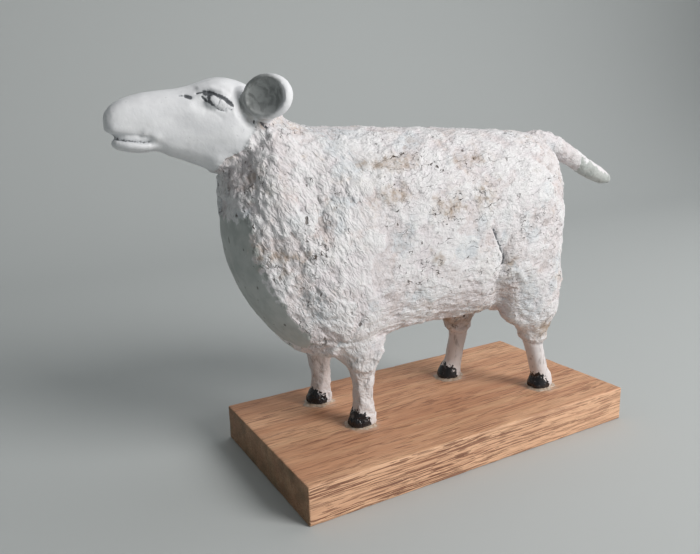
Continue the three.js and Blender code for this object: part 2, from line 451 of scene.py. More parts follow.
# %% [markdown]
# ## Finer faces where a tool was used
#
# The lids and the mouth were cut with a knife point, and the hooves have a ragged edge. Those few
# places get their faces split into four. Splitting everything would cost four times the faces for
# nothing.

# %% Split the faces round the eyes, the mouth and the hooves
EYE_MIDDLE = (-104.5, 152)
EYE_REACH = (12.5, 7)
EYE_SIDE = 5
LIPS_BACK = -123
LIPS_HEIGHT = 139
LIPS_REACH = 4.2
SPLIT_HOOF_TOP = 12


def split_faces(mesh, chosen):
    shape = bmesh.new()
    shape.from_mesh(mesh)
    shape.verts.ensure_lookup_table()
    edges = [e for e in shape.edges if chosen[e.verts[0].index] and chosen[e.verts[1].index]]
    bmesh.ops.subdivide_edges(shape, edges=edges, cuts=1, use_grid_fill=True)
    shape.to_mesh(mesh)
    shape.free()
    mesh.update()


side = folded(to_sheep(points_of(skin)))
from_eye = (side[:, [0, 2]] - EYE_MIDDLE) / EYE_REACH
near_eye = (np.hypot(*from_eye.T) < 1) & (side[:, 1] > EYE_SIDE)
near_mouth = (side[:, 0] < LIPS_BACK) & (np.abs(side[:, 2] - LIPS_HEIGHT) < LIPS_REACH)
near_hoof = side[:, 2] < SPLIT_HOOF_TOP
split_faces(skin, near_eye | near_mouth | near_hoof)
print("after splitting:", len(skin.vertices), "points,", triangles(skin), "triangles")

# %% [markdown]
# ## Knife-cut forelegs
#
# The forelegs weren't rolled round. They were trimmed with a knife, and their flat sides catch the
# light one by one. Cutting with planes would be the maker's way, but a rule does it in one go: for each
# point, the radius of a round shin is drawn towards that of a polygon, which twists a little as it goes
# up.

# %% Carve a few flat sides into the forelegs
FACETS = 5
FACET_STEP = 2 * math.pi / FACETS
FIRST_FACET = math.radians(-130)
FACET_SHARE = 0.75
FACET_RADIUS = 1.08
FACET_TWIST = 0.25
TWIST_HEIGHT = 5
SHIN_SHIFT = 0.3
SHIN_RADIUS = 10
SHIN_BOTTOM = (9, 13)
SHIN_TOP = (40, 33)


def carve_facets(own, x, side):
    centre = np.array((x - SHIN_SHIFT, side * LEG_SPREAD))
    from_axis = own[:, :2] - centre
    radius = np.linalg.norm(from_axis, axis=1)
    twist = FACET_TWIST * np.sin(own[:, 2] / TWIST_HEIGHT)
    angle = np.arctan2(from_axis[:, 1] * -side, from_axis[:, 0]) - FIRST_FACET - twist
    inside = np.mod(angle, FACET_STEP) - FACET_STEP / 2
    flat = FACET_RADIUS * math.cos(FACET_STEP / 2) / np.cos(inside)
    on_shin = smoothstep(*SHIN_BOTTOM, own[:, 2]) * smoothstep(*SHIN_TOP, own[:, 2])
    amount = FACET_SHARE * on_shin * (radius < SHIN_RADIUS)
    own[:, :2] = centre + from_axis * (1 + amount * (flat - 1))[:, None]


own = to_sheep(points_of(skin))
for name in ("fore_left", "fore_right"):
    carve_facets(own, *FEET[name])
move_points(skin, to_scene(own))
print("facets:", FACETS, "on each foreleg")

# %% [markdown]
# ## Tool strokes
#
# The maker pressed the lids, the lips and the folds in with a tool, and laid beads of pulp beside them.
# A stroke is a path on the side of the animal, given in its own frame, with a width and a push: inwards
# for a cut, outwards for a bead. The face gets the same strokes on both sides. The folds at the thighs,
# the hems of the hind legs and the sleeves of the forelegs differ, because the legs are in step. A
# stroke can carry ink, which the paint uses later; in the folds of the flank and the groin that ink is
# painted shade. Curves with a bevel could be cut away with Booleans, but pushing points along their
# normals keeps one skin.

# %% Draw the longer paths
LIPS = [(-148, 139.6), (-143.3, 139.1), (-139.4, 138.4), (-135.5, 137.8), (-132.5, 137.4), (-130.2, 137.4)]
LID_START = [(-110.3, 156), (-108, 156.4), (-106, 156.5)]
LID = [(-106, 156.5), (-104.2, 156), (-101.2, 154.3), (-98.8, 152.3), (-96, 151)]
INNER_CORNER = [(-108.3, 154.6), (-107, 152.8), (-105.6, 151.4), (-104.8, 151)]
BALL_CREASE = [(-103.4, 154.6), (-102.1, 153.2), (-102.6, 151.8), (-103.4, 150.6)]
JAW_CUT = [(-123.6, 137.6), (-120.2, 137.4), (-116.1, 136), (-111.8, 135.1), (-107, 133.9)]
FLANK_FOLD = [(17.5, 93), (20, 88), (25, 79), (25.2, 75)]
FAR_FOLD_SHIFT = 26
BREAST_UPPER = [(-104, 128), (-99, 118), (-96, 109), (-94.5, 102), (-93, 88)]
BREAST_RIDGE = [*BREAST_UPPER, (-87.5, 75), (-82, 65), (-76, 57), (-71, 49.5)]
NEAR_SLEEVE = [(-60, 39), (-54.3, 34), (-49.4, 29.8), (-44.5, 27.6), (-40, 29.5), (-36, 36)]
FAR_SLEEVE = [(-60, 31.3), (-53, 29.8), (-46, 29.8)]


def raised(path, by):
    return [(x, z + by) for x, z in path]


print("paths drawn, the breast ridge with", len(BREAST_RIDGE), "points")

# %% List the strokes on the face
# name: (side, path, width, push, ink)
STROKES = {
    "lips": ("both", LIPS, 1.05, -1.35, 0.5),
    "upper lip": ("both", raised(LIPS[1:5], 3.4), 1.9, 0.85, 0),
    "lip slope": ("both", raised(LIPS, 1.5), 1.0, -0.5, 0.05),
    "mouth corner": ("both", [(-131, 140.6), (-127.5, 139)], 1.8, 0.75, 0),
    "lower lip": ("both", [(-144, 136), (-140, 135.3), (-135, 134.8), (-131, 135)], 1.8, 0.5, 0),
    "lid start": ("both", LID_START, 0.4, -0.4, 0.7),
    "lid": ("both", LID, 0.62, -0.6, 0.95),
    "lid tail": ("both", [(-102.5, 155), (-100, 153.6), (-97.6, 151.8)], 0.8, -0.15, 1),
    "lid inner blot": ("both", [(-107.2, 156.2), (-105.2, 155.8)], 1.05, -0.2, 1),
    "lid outer blot": ("both", [(-99, 152.5), (-97, 151.3)], 0.95, -0.2, 1),
    "lid bead": ("both", [(-109, 158), (-105, 158.2), (-101, 156.6), (-97.5, 154)], 1.1, 0.55, 0),
    "inner corner": ("both", INNER_CORNER, 0.5, -0.3, 0.95),
    "inner loop": ("both", [(-105.9, 155), (-106.4, 153.2), (-105.3, 151.2)], 0.55, -0.25, 0.95),
    "lower lid": ("both", [(-104.8, 150.7), (-102.6, 149.3), (-101.3, 149), (-100, 148.8)], 0.45, -0.3, 0.46),
    "lower loop": ("both", [(-100.3, 148.8), (-99.1, 150), (-97.8, 149), (-96.6, 149.9)], 0.5, -0.2, 0.4),
    "ball crease": ("both", BALL_CREASE, 0.38, -0.15, 0.42),
    "ball edge": ("both", [(-99.4, 152.2), (-99.2, 150.8)], 0.3, -0.15, 0.3),
    "tear duct": ("both", [(-114.6, 155), (-113, 154.4)], 0.8, -0.5, 1),
    "tear duct tail": ("both", [(-117, 155.2), (-114.6, 155)], 0.45, -0.2, 0.5),
    "tear path": ("both", [(-112.5, 154.4), (-110.6, 155.6)], 0.4, -0.15, 0.25),
    "under eye": ("both", [(-105.2, 148.9), (-103.1, 147.3), (-101.3, 145.5)], 0.9, -0.16, 0.12),
    "cheek": ("both", [(-112, 147), (-105, 143), (-99, 140.5)], 5, 0.5, 0),
    "eye hollow": ("both", [(-110.5, 151.5), (-107.5, 150)], 2.2, -0.55, 0),
    "jaw cut": ("both", JAW_CUT, 1.1, -0.14, 0.1),
}
print("strokes on the face:", len(STROKES))

# %% List the strokes on the body and the legs
STROKES |= {
    # the ink of the flank folds and the groins is painted shade in their creases
    "near flank fold": ("near", FLANK_FOLD, 0.7, -1.4, 0.74),
    "near fold end": ("near", [(25.2, 75), (24, 68), (21.5, 61), (20, 56)], 1.3, -1.2, 0.28),
    "near thigh front": ("near", [(30, 86), (32, 76), (31, 66)], 5, 0.35, 0),
    "near groin": ("near", [(24, 62), (28, 57), (31, 51)], 4, -1.6, 0.12),
    "far flank fold": ("far", [(x - FAR_FOLD_SHIFT, z) for x, z in FLANK_FOLD], 0.6, -1.2, 0.4),
    "far thigh front": ("far", [(4, 86), (6, 76), (5, 66)], 5, 0.35, 0),
    "far groin": ("far", [(-2, 62), (2, 57), (5, 51)], 4, -1.6, 0.12),
    "belly rim": ("both", [(-24, 50.5), (-8, 48.6), (8, 48.2), (21, 49)], 1.4, 0.8, 0),
    "breast ridge": ("both", BREAST_RIDGE, 4.2, 1.7, 0),
    "ear crack": ("both", [(-89.6, 147.5), (-86.3, 145), (-84.7, 143.9), (-82.2, 141.1)], 0.5, -0.6, 0.9),
    "ear crack twig": ("both", [(-86.3, 145), (-87, 142.8)], 0.45, -0.5, 0.8),
    "breast ledge": ("both", [(-66, 48.5), (-57, 46), (-50, 45.5)], 0.9, -0.7, 0.3),
    "near sleeve": ("near", raised(NEAR_SLEEVE, 2), 1.6, 1.3, 0),
    "near sleeve edge": ("near", NEAR_SLEEVE, 0.8, -0.45, 0.12),
    "far sleeve": ("far", raised(FAR_SLEEVE, 2), 1.6, 1.1, 0),
    "far sleeve edge": ("far", FAR_SLEEVE, 0.7, -0.5, 0.35),
}
for hem_side, x in (("near", 57), ("far", 30)):
    STROKES[f"{hem_side} hind hem"] = (hem_side, [(x - 8, 30.5), (x, 28.5), (x + 7, 29.5)], 1.5, 0.8, 0)
    STROKES[f"{hem_side} hem line"] = (hem_side, [(x - 8, 28), (x, 26.2), (x + 7, 27)], 0.5, -0.3, 0.45)
print("strokes in all:", len(STROKES))

# %% Push the strokes into the skin and remember their ink
MUZZLE_START = -120
LEGS_TOP = 60
TURNED_AWAY = (0.05, 0.35)


def distance_to(path, x, z):
    nearest = np.full(len(x), np.inf)
    for (x0, z0), (x1, z1) in zip(path, path[1:]):
        dx, dz = x1 - x0, z1 - z0
        along = np.clip(((x - x0) * dx + (z - z0) * dz) / (dx * dx + dz * dz), 0, 1)
        nearest = np.minimum(nearest, np.hypot(x - x0 - along * dx, z - z0 - along * dz))
    return nearest


normals = normals_of(skin) @ turn
sideways = smoothstep(*TURNED_AWAY, np.abs(normals[:, 1]))
ink_and_shade = np.zeros(len(own))
push = np.zeros(len(own))
for sides, path, width, height, blackness in STROKES.values():
    here = np.ones(len(own)) if sides == "both" else (own[:, 1] > 0) == (sides == "far")
    near = np.exp(-((distance_to(path, own[:, 0], own[:, 2]) / width) ** 2)) * here * (1 - on_ear(own))
    # a stroke on the side fades where the skin turns away; at the lips and the legs it runs right round
    facing = sideways if path[0][0] > MUZZLE_START and path[0][1] > LEGS_TOP else 1
    push += height * near * facing
    ink_and_shade = np.maximum(ink_and_shade, blackness * near * facing)
move_points(skin, to_scene(own + normals * push[:, None]))
print("deepest stroke:", round(float(push.min()), 2), "mm")

# %% [markdown]
# ## Where the fleece is rough, and where paint goes
#
# The paint and the relief need to know where they are: on the fleece, the face, the inside of an ear, a
# shin or a hoof. These are stored on the points as attributes. An image could be painted instead, but
# it needs an unwrapped skin. Most edges are stored as a distance in millimetres and not as a sharp
# step, so that noise in the material can tear them at a finer size than the faces.

# %% Store the ink, the face, the shins and the hooves
FAR_OFF = -20.0
LEG_REACH = 16
HIND_SHIN_TOP = 27
FORE_SHIN_TOP = 37
SHIN_FADE = 3
HOOF_TOP = 14
HOOF_SLANT = 0.06
# distance behind the foot's middle: how high the black goes there
HOOF_EDGE = {-7: 8.5, -3.5: 8.2, 0: 5.6, 1.4: 1.6, 2.6: -4.0}

own = to_sheep(points_of(skin))
side = folded(own)
normals = normals_of(skin) @ turn
store(skin, "ink_and_shade", ink_and_shade)

face_depth = np.maximum(head_edge(own), 8 * on_ear(own) - 4)
store(skin, "face", face_depth)

shin = np.zeros(len(own))
hoof = np.full(len(own), FAR_OFF)
for name, (x, y) in FEET.items():
    here = (np.sign(own[:, 1]) == y) & (np.abs(own[:, 0] - x) < LEG_REACH)
    top = HIND_SHIN_TOP if name.startswith("hind") else FORE_SHIN_TOP
    shin = np.maximum(shin, here * smoothstep(top + SHIN_FADE, top - SHIN_FADE, own[:, 2]))
    behind_middle = own[:, 0] - x - HOOF_SLANT * own[:, 2]
    limit = np.interp(behind_middle, list(HOOF_EDGE), list(HOOF_EDGE.values()))
    hoof = np.where(here & (own[:, 2] < HOOF_TOP), limit - own[:, 2], hoof)
store(skin, "shin", shin)
store(skin, "hoof", hoof)
print("hoof points:", int((hoof > 0).sum()))

# %% Store the hollows of the ears
CUP_RADIUS = 9.8
CUP_SHIFT = np.array((0, 0, 0.5)) - 2.7 * EAR_ACROSS
CUP_BOTTOM = -4
NOT_IN_CUP = -5

along_ear, beside_ear = ear_reach(own)
beside_cup = ear_reach(own, shift=CUP_SHIFT)[1]
outwards = unfolded(normals, own) @ EAR_AXIS
in_ear = (beside_ear < 12) & (along_ear > CUP_BOTTOM) & (outwards > 0.1)
store(skin, "cup", np.where(in_ear, CUP_RADIUS - beside_cup, NOT_IN_CUP))
print("points in the ears:", int(in_ear.sum()))

# %% Store the breast and how rough the fleece is
BREAST_LIMIT = 9
BREAST_TOP = 104
BREAST_BOTTOM = 46.5
BREAST_SLOPE = 0.15
BREAST_BLEND = 1.2
RIDGE_INSET = 0.9
RIDGE_X, RIDGE_Z = np.array(BREAST_RIDGE[::-1]).T
TAIL_ROOT = (88, 98)
TAIL_BOTTOM = 100
# (centre in the sheep's own frame, half size)
SMOOTH_FLANK = ((-12, 38, 86), (42, 60, 22))
ROUGH_SHOULDER = ((-78, 30, 92), (26, 60, 34))


def bump_at(own, centre, half):
    return np.exp(-np.square((own - centre) / half).sum(1))


in_front = np.interp(own[:, 2], RIDGE_Z, RIDGE_X) - own[:, 0] - RIDGE_INSET
above_legs = own[:, 2] + BREAST_SLOPE * side[:, 1] - BREAST_BOTTOM
breast_depth = np.minimum(np.minimum(in_front, BREAST_TOP - own[:, 2]), above_legs)
breast = smoothstep(-BREAST_BLEND, BREAST_BLEND, breast_depth)
tail = smoothstep(*TAIL_ROOT, own[:, 0]) * (own[:, 2] > TAIL_BOTTOM)
rough = (0.9 + 0.25 * bump_at(side, *ROUGH_SHOULDER)) * (1 - 0.55 * bump_at(side, *SMOOTH_FLANK))
rough *= (1 - 0.9 * breast) * (1 - 0.6 * tail)
rough *= 1 - shin * np.where(own[:, 0] > 0, 0.88, 0.15)
rough *= smoothstep(1.5, -1.0, face_depth)
store(skin, "fleece", rough)

# the tail's underside, where it faces down, gets the breast's painted shade
on_tail = (own[:, 0] > 94) & (own[:, 2] > TAIL_BOTTOM)
shaded_tail_underside = np.where(on_tail, BREAST_LIMIT * (0.3 - normals[:, 2]), -BREAST_LIMIT)
store(skin, "breast", np.clip(np.maximum(breast_depth, shaded_tail_underside), -BREAST_LIMIT, BREAST_LIMIT))
print("rough points:", int((rough > 0.5).sum()))

# %% Store the stains, where brown glue and size came through the paint, and some painted shade
# (centre in the sheep's own frame, half size, strength)
STAINS_AND_SHADES = [
    # the brown at the shoulder is partly size and partly painted shade
    ((-95, 33, 91), (4, 12, 9), 0.8),
    ((-85, 36, 89), (6, 14, 4), 0.7),
    ((-76, 38, 88), (7, 14, 4), 0.5),
    ((-84, 37, 83), (5, 14, 4), 0.5),
    ((-94, 26, 123), (7, 14, 8), 0.42),
    # these two are painted shade between the brow and the ear, with a little brown size
    ((-88, 15, 149), (4, 7, 6), 0.6),
    ((-84, 20, 143), (4, 9, 3), 0.5),
    ((-12, 40, 82), (3.5, 16, 4.5), 0.7),
    ((-31, 38, 112), (12, 14, 7), 0.5),
    ((-6, 38, 106), (10, 14, 7), 0.6),
    ((14, 38, 108), (9, 14, 8), 0.5),
    ((-62, 38, 110), (10, 14, 8), 0.35),
    ((-32, 28, 125), (18, 16, 5), 0.5),
    ((10, 26, 125), (16, 16, 4), 0.4),
    ((72, 30, 112), (7, 18, 12), 0.45),
    ((-40, 38, 63), (6, 14, 3), 0.3),
    ((27, 36, 60), (8, 14, 8), 0.35),
    # painted shade on the thigh behind the flank fold
    ((29, 36, 73), (6, 14, 8), 0.4),
    ((60, 20, 36), (10, 14, 7), 0.75),
    ((28, 20, 36), (14, 14, 8), 0.75),
    ((20, 24, 50), (5, 14, 3), 0.6),
    ((62, 17, 27), (4, 8, 2.5), 0.9),
    ((118, 6, 124), (2.5, 6, 4), 0.8),
]
stains_and_shades = np.zeros(len(own))
for centre, half, strength in STAINS_AND_SHADES:
    stains_and_shades = np.maximum(stains_and_shades, strength * bump_at(side, centre, half))
store(skin, "stain_and_shade", stains_and_shades)
print("stains:", len(STAINS_AND_SHADES), "on each side")

# %% [markdown]
# ## The set of the ears
#
# The ears were stuck on by hand. They lie a little further forward than in the solid, and are wider
# than they are tall. They are bent only now, because the masks above were measured on round ears, and
# they move along with the points that they are stored on.

# %% Bend the ears a little forward, and make them wider than tall
EAR_WIDER = 0.09
EAR_LOWER = 0.06
EAR_FORWARD = 1.5
EAR_RAISE = 0.1
EAR_ROOT = (17, 12.5)
UPWARDS = np.array((0, 0, 1))


def bent_ears(own):
    from_ear = folded(own) - EAR_CENTRE
    weight = smoothstep(*EAR_ROOT, np.linalg.norm(from_ear, axis=1))
    across = weight * (EAR_WIDER * (from_ear @ EAR_ACROSS) - EAR_FORWARD)
    upwards = weight * (EAR_RAISE - EAR_LOWER * from_ear[:, 2])
    return own + unfolded(across[:, None] * EAR_ACROSS + upwards[:, None] * UPWARDS, own)


move_points(skin, to_scene(bent_ears(own)))
print("ears bent by up to", round(float(np.abs(to_sheep(points_of(skin)) - own).max()), 2), "mm")

# %% [markdown]
# ## The pulp's relief
#
# Paper pulp dries in clumps and crumbs with cracks between them, and scraps of torn paper lie over it
# in patches. Nobody models crumbs one by one: they follow a rule, so a Geometry Nodes tree moves the
# points. Its noise gives the hand's unevenness, Voronoi patterns give the patches, the clumps and the
# crumbs, folded noise gives the wrinkles of wet tissue, and a few deep pits stay where pulp fell off.
# The height goes into an attribute as well, so that the paint can lie dark in the cracks and white on
# the crests, as painted shade and painted highlight mixed with glaze and dry brush.

# %% Small helpers that grow a node tree
CENTRE = (0.5, 0.5, 0.5)


def grow(tree, kind, sockets=None, **settings):
    """Add a node, set its properties, and fill its sockets with numbers or with other sockets."""
    node = tree.nodes.new(kind)
    for name, value in settings.items():
        setattr(node, name, value)
    for socket, value in (sockets or {}).items():
        if isinstance(value, bpy.types.NodeSocket):
            tree.links.new(value, node.inputs[socket])
        else:
            node.inputs[socket].default_value = value
    return node


def calculate(tree, operation, first, second=0.0, clamp=False):
    settings = {"operation": operation, "use_clamp": clamp}
    return grow(tree, "ShaderNodeMath", {0: first, 1: second}, **settings).outputs[0]


def plus(tree, first, second):
    return calculate(tree, "ADD", first, second)


def minus(tree, first, second, clamp=False):
    return calculate(tree, "SUBTRACT", first, second, clamp)


def times(tree, *values):
    product = values[0]
    for value in values[1:]:
        product = calculate(tree, "MULTIPLY", product, value)
    return product


def ramp(tree, value, low, high, bottom=0.0, top=1.0):
    sockets = {"Value": value, "From Min": low, "From Max": high, "To Min": bottom, "To Max": top}
    return grow(tree, "ShaderNodeMapRange", sockets, interpolation_type="SMOOTHSTEP").outputs["Result"]


def vectors(tree, operation, first, second=(0, 0, 0), scale=None):
    sockets = {0: first, 1: second} if scale is None else {0: first, "Scale": scale}
    return grow(tree, "ShaderNodeVectorMath", sockets, operation=operation).outputs[0]


def coordinate(tree, place, axis=0):
    return grow(tree, "ShaderNodeSeparateXYZ", {0: place}).outputs[axis]


print("helpers for nodes and sums ready")

# %% Helpers for patterns: noise, crumbs and wrinkles
def noise(tree, place, size, seed, detail=2.0, roughness=0.5, output=0):
    """Noise with blobs of about this size in metres; the seed moves through its fourth dimension."""
    sockets = {"Vector": place, "W": seed, "Scale": 1 / size, "Detail": detail, "Roughness": roughness}
    return grow(tree, "ShaderNodeTexNoise", sockets, noise_dimensions="4D").outputs[output]


def stirred_by(tree, place, size, seed, reach, detail=2.0):
    """The place, moved about by coloured noise, so that the edges of a pattern on it wander."""
    shift = vectors(tree, "SUBTRACT", noise(tree, place, size, seed, detail, output="Color"), CENTRE)
    return vectors(tree, "ADD", place, vectors(tree, "SCALE", shift, scale=reach))


def crumbs(tree, place, size, seed, output="Distance"):
    """Voronoi cells of this size, which may be a number or a socket."""
    scale = 1 / size if isinstance(size, float) else calculate(tree, "DIVIDE", 1.0, size)
    sockets = {"Vector": place, "W": seed, "Scale": scale}
    return grow(tree, "ShaderNodeTexVoronoi", sockets, voronoi_dimensions="4D").outputs[output]


def valleys(tree, place, tilt, size, seed, detail):
    """0 along sharp lines, drawn out to two and a half times their width along a tilted direction."""
    turned = {"Vector": place, "Angle": tilt}
    tilted = grow(tree, "ShaderNodeVectorRotate", turned, rotation_type="Y_AXIS").outputs[0]
    drawn = vectors(tree, "MULTIPLY", tilted, (0.4, 1.0, 1.0))
    scale = calculate(tree, "DIVIDE", 1.0, size)
    sockets = {"Vector": drawn, "W": seed, "Scale": scale, "Detail": detail, "Roughness": 0.55}
    level = grow(tree, "ShaderNodeTexNoise", sockets, noise_dimensions="4D").outputs[0]
    return calculate(tree, "ABSOLUTE", minus(tree, level, 0.5))


def wrinkles(tree, place, tilt, size, seed, detail):
    """Sharp-crested folds like crushed tissue."""
    return minus(tree, 1.0, times(tree, valleys(tree, place, tilt, size, seed, detail), 5.0), clamp=True)


print("helpers for patterns ready")

# %% Start and end a Geometry Nodes tree with named inputs
def start_tree(name, sizes):
    tree = bpy.data.node_groups.new(name, "GeometryNodeTree")
    tree.interface.new_socket("Geometry", in_out="INPUT", socket_type="NodeSocketGeometry")
    for title, value in sizes.items():
        tree.interface.new_socket(title, in_out="INPUT", socket_type="NodeSocketFloat").default_value = value
    tree.interface.new_socket("Material", in_out="INPUT", socket_type="NodeSocketMaterial")
    tree.interface.new_socket("Geometry", in_out="OUTPUT", socket_type="NodeSocketGeometry")
    return tree, tree.nodes.new("NodeGroupInput").outputs


def named(tree, name):
    settings = {"data_type": "FLOAT"}
    return grow(tree, "GeometryNodeInputNamedAttribute", {"Name": name}, **settings).outputs["Attribute"]


def end_tree(tree, given, height, kept):
    """Move the points along their normals by a height, keep some values, and paint the result."""
    normal = tree.nodes.new("GeometryNodeInputNormal").outputs[0]
    offset = vectors(tree, "SCALE", normal, scale=height)
    sockets = {"Geometry": given["Geometry"], "Offset": offset}
    geometry = grow(tree, "GeometryNodeSetPosition", sockets).outputs[0]
    for name, value in kept.items():
        sockets = {"Geometry": geometry, "Name": name, "Value": value}
        geometry = grow(tree, "GeometryNodeStoreNamedAttribute", sockets).outputs[0]
    geometry = grow(tree, "GeometryNodeRealizeInstances", {"Geometry": geometry}).outputs[0]
    sockets = {"Geometry": geometry, "Material": given["Material"]}
    geometry = grow(tree, "GeometryNodeSetMaterial", sockets).outputs[0]
    tree.links.new(geometry, tree.nodes.new("NodeGroupOutput").inputs["Geometry"])


def dressed(obj, tree, values):
    """Put the tree on the object with these inputs, and turn the result into a plain, smooth mesh."""
    modifier = obj.modifiers.new(tree.name, "NODES")
    modifier.node_group = tree
    for item in tree.interface.items_tree:
        if item.in_out == "INPUT" and item.name in values:
            modifier[item.identifier] = values[item.name]
    mesh = finished(obj)
    mesh.shade_smooth()
    return mesh


print("helpers for Geometry Nodes ready")

# %% Name the sizes of the pulp's relief
SHOULDER_TILT = math.radians(-58)
FLANK_TILT = math.radians(16)
SHOULDER_BACK = (-62 * MM, -34 * MM)
PULP_SIZES = {
    "Clump Size": 5.0 * MM,
    "Clump Height": 0.5 * MM,
    "Patch Size": 12.0 * MM,
    "Patch Height": 0.9 * MM,
    "Crumb Size": 2.8 * MM,
    "Crumb Height": 0.55 * MM,
    "Wrinkle Size": 4.2 * MM,
    "Wrinkle Height": 0.9 * MM,
    "Pit Depth": 0.9 * MM,
    "Unevenness": 0.7 * MM,
    "Seed": 3.0,
}
print("relief sizes:", len(PULP_SIZES))

# %% Grow the tree for the pulp
def pulp_tree():
    tree, given = start_tree("pulp relief", PULP_SIZES)
    seed = given["Seed"]
    place = tree.nodes.new("GeometryNodeInputPosition").outputs[0]
    stirred = stirred_by(tree, place, 4.5 * MM, seed, 3.2 * MM)

    def level_of(size):
        """A number from 0 to 1 for each cell of this size."""
        return coordinate(tree, crumbs(tree, stirred, size, seed, output="Color"))

    def lumps(kind):
        dome = minus(tree, 0.5, crumbs(tree, stirred, given[f"{kind} Size"], seed))
        level = times(tree, minus(tree, level_of(given[f"{kind} Size"]), 0.5), 0.8)
        return times(tree, plus(tree, dome, level), given[f"{kind} Height"])

    # wrinkles run steeply at the shoulder and nearly level on the flank
    behind = ramp(tree, coordinate(tree, place), *SHOULDER_BACK)
    steep = wrinkles(tree, stirred, SHOULDER_TILT, given["Wrinkle Size"], seed, 1.5)
    level = wrinkles(tree, stirred, FLANK_TILT, given["Wrinkle Size"], seed, 1.5)
    folds = grow(tree, "ShaderNodeMix", {0: behind, 2: steep, 3: level}, data_type="FLOAT").outputs[0]
    folds = times(tree, minus(tree, folds, 0.45), given["Wrinkle Height"])

    # crumbs and pits gather in some places
    zone = ramp(tree, noise(tree, place, 15 * MM, plus(tree, seed, 2.0)), 0.44, 0.58)
    small = times(tree, lumps("Crumb"), plus(tree, times(tree, zone, 0.75), 0.25))
    pits = ramp(tree, noise(tree, stirred, 3.4 * MM, plus(tree, seed, 5.0), detail=1.0), 0.62, 0.70)
    pits = times(tree, pits, zone, given["Pit Depth"])

    patch = level_of(given["Patch Size"])
    layers = times(tree, minus(tree, patch, 0.5), given["Patch Height"])
    fine = plus(tree, plus(tree, lumps("Clump"), small), plus(tree, folds, layers))
    fine = minus(tree, fine, pits)

    # the breast has no crumbs, but it is as uneven as the rest
    broad = minus(tree, noise(tree, place, 17 * MM, seed, detail=1.0), 0.5)
    broad = times(tree, broad, given["Unevenness"], 2.0)
    rough = named(tree, "fleece")
    swell = plus(tree, rough, times(tree, ramp(tree, named(tree, "breast"), -1.0, 2.0), 0.45))
    height = plus(tree, times(tree, fine, rough), times(tree, broad, swell))
    relief = calculate(tree, "DIVIDE", fine, MM)
    end_tree(tree, given, height, {"relief": relief, "crumbly": zone, "patch": patch})
    return tree


pulp = pulp_tree()
print("pulp relief:", len(pulp.nodes), "nodes")

# %% [markdown]
# ## Paint on pulp
#
# Everything on the sheep is acrylic paint on paper pulp, so one material serves it, and the stored
# masks say which paint lies where. Several materials would meet in hard lines at the faces' edges. The
# coats are laid one over the other, as a painter lays them, each with its own mask of noise.

# %% Helpers for a layered paint
def start_paint(name):
    paint = bpy.data.materials.new(name)
    paint.use_nodes = True
    tree = paint.node_tree
    place = tree.nodes.new("ShaderNodeTexCoord").outputs["Object"]
    return paint, tree, tree.nodes["Principled BSDF"], place


def mask(tree, name):
    return grow(tree, "ShaderNodeAttribute", attribute_name=name).outputs["Fac"]


def coat(tree, amount, under, over):
    """One coat of colour over another, by an amount from 0 to 1. A colour is a socket or three numbers."""
    under, over = (c if isinstance(c, bpy.types.NodeSocket) else (*c, 1) for c in (under, over))
    return grow(tree, "ShaderNodeMix", {0: amount, 6: under, 7: over}, data_type="RGBA").outputs[2]


def coat_number(tree, amount, under, over):
    return grow(tree, "ShaderNodeMix", {0: amount, 2: under, 3: over}, data_type="FLOAT").outputs[0]


def torn(tree, distance, place, size, reach, soft, seed):
    """0 to 1 across an edge that was stored as a distance in millimetres, torn by noise of this size."""
    shift = minus(tree, noise(tree, place, size, seed, detail=3.0), 0.5)
    return ramp(tree, plus(tree, distance, times(tree, shift, 2 * reach)), -soft, soft)


def stretched(tree, place, turned, scale):
    return grow(tree, "ShaderNodeMapping", {"Vector": place, "Rotation": turned, "Scale": scale}).outputs[0]


print("helpers for paint ready")

# %% Name the colours on the sheep
WARM_WHITE = (0.735, 0.69, 0.705)
FLEECE_WHITE = (0.79, 0.76, 0.77)
PINK = (0.64, 0.53, 0.49)
CREAM = (0.67, 0.555, 0.45)
BLUE_GREY = (0.60, 0.655, 0.69)
NEW_PAPER = (0.80, 0.80, 0.81)
OLD_PAPER = (0.63, 0.56, 0.545)
GLAZE_AND_SHADE = (0.35, 0.29, 0.265)
DRY_WHITE_AND_HIGHLIGHT = (0.815, 0.81, 0.81)
BROWN_SIZE_AND_SHADE = (0.38, 0.275, 0.19)
BARE_CRACK = (0.085, 0.062, 0.05)
BREAST_SHADE_PALE = (0.51, 0.53, 0.505)
BREAST_SHADE_GREEN = (0.37, 0.405, 0.38)
BREAST_CRACK = (0.085, 0.075, 0.06)
SHIN_WHITE = (0.75, 0.715, 0.71)
SHIN_GREY = (0.22, 0.195, 0.18)
FACE_COOL = (0.79, 0.795, 0.815)
FACE_WHITE = (0.85, 0.855, 0.87)
FACE_GREY = (0.60, 0.60, 0.62)
FACE_WORN = (0.36, 0.37, 0.38)
FACE_SIZE_AND_SHADE = (0.36, 0.31, 0.25)
EAR_GREY = (0.36, 0.375, 0.37)
EAR_DARK = (0.20, 0.21, 0.205)
EAR_PALE = (0.47, 0.48, 0.48)
THIN_INK_AND_SHADE = (0.33, 0.36, 0.39)
INK_AND_SHADE = (0.055, 0.06, 0.07)
HOOF_BLACK = (0.015, 0.015, 0.017)
HOOF_SCUFF = (0.13, 0.13, 0.135)

pulp_paint, tree, shader, place = start_paint("painted_pulp")
fleece = mask(tree, "fleece")
relief = mask(tree, "relief")
zone = mask(tree, "crumbly")
patch = mask(tree, "patch")
stain_and_shade_mask = mask(tree, "stain_and_shade")
print("colours and masks ready")

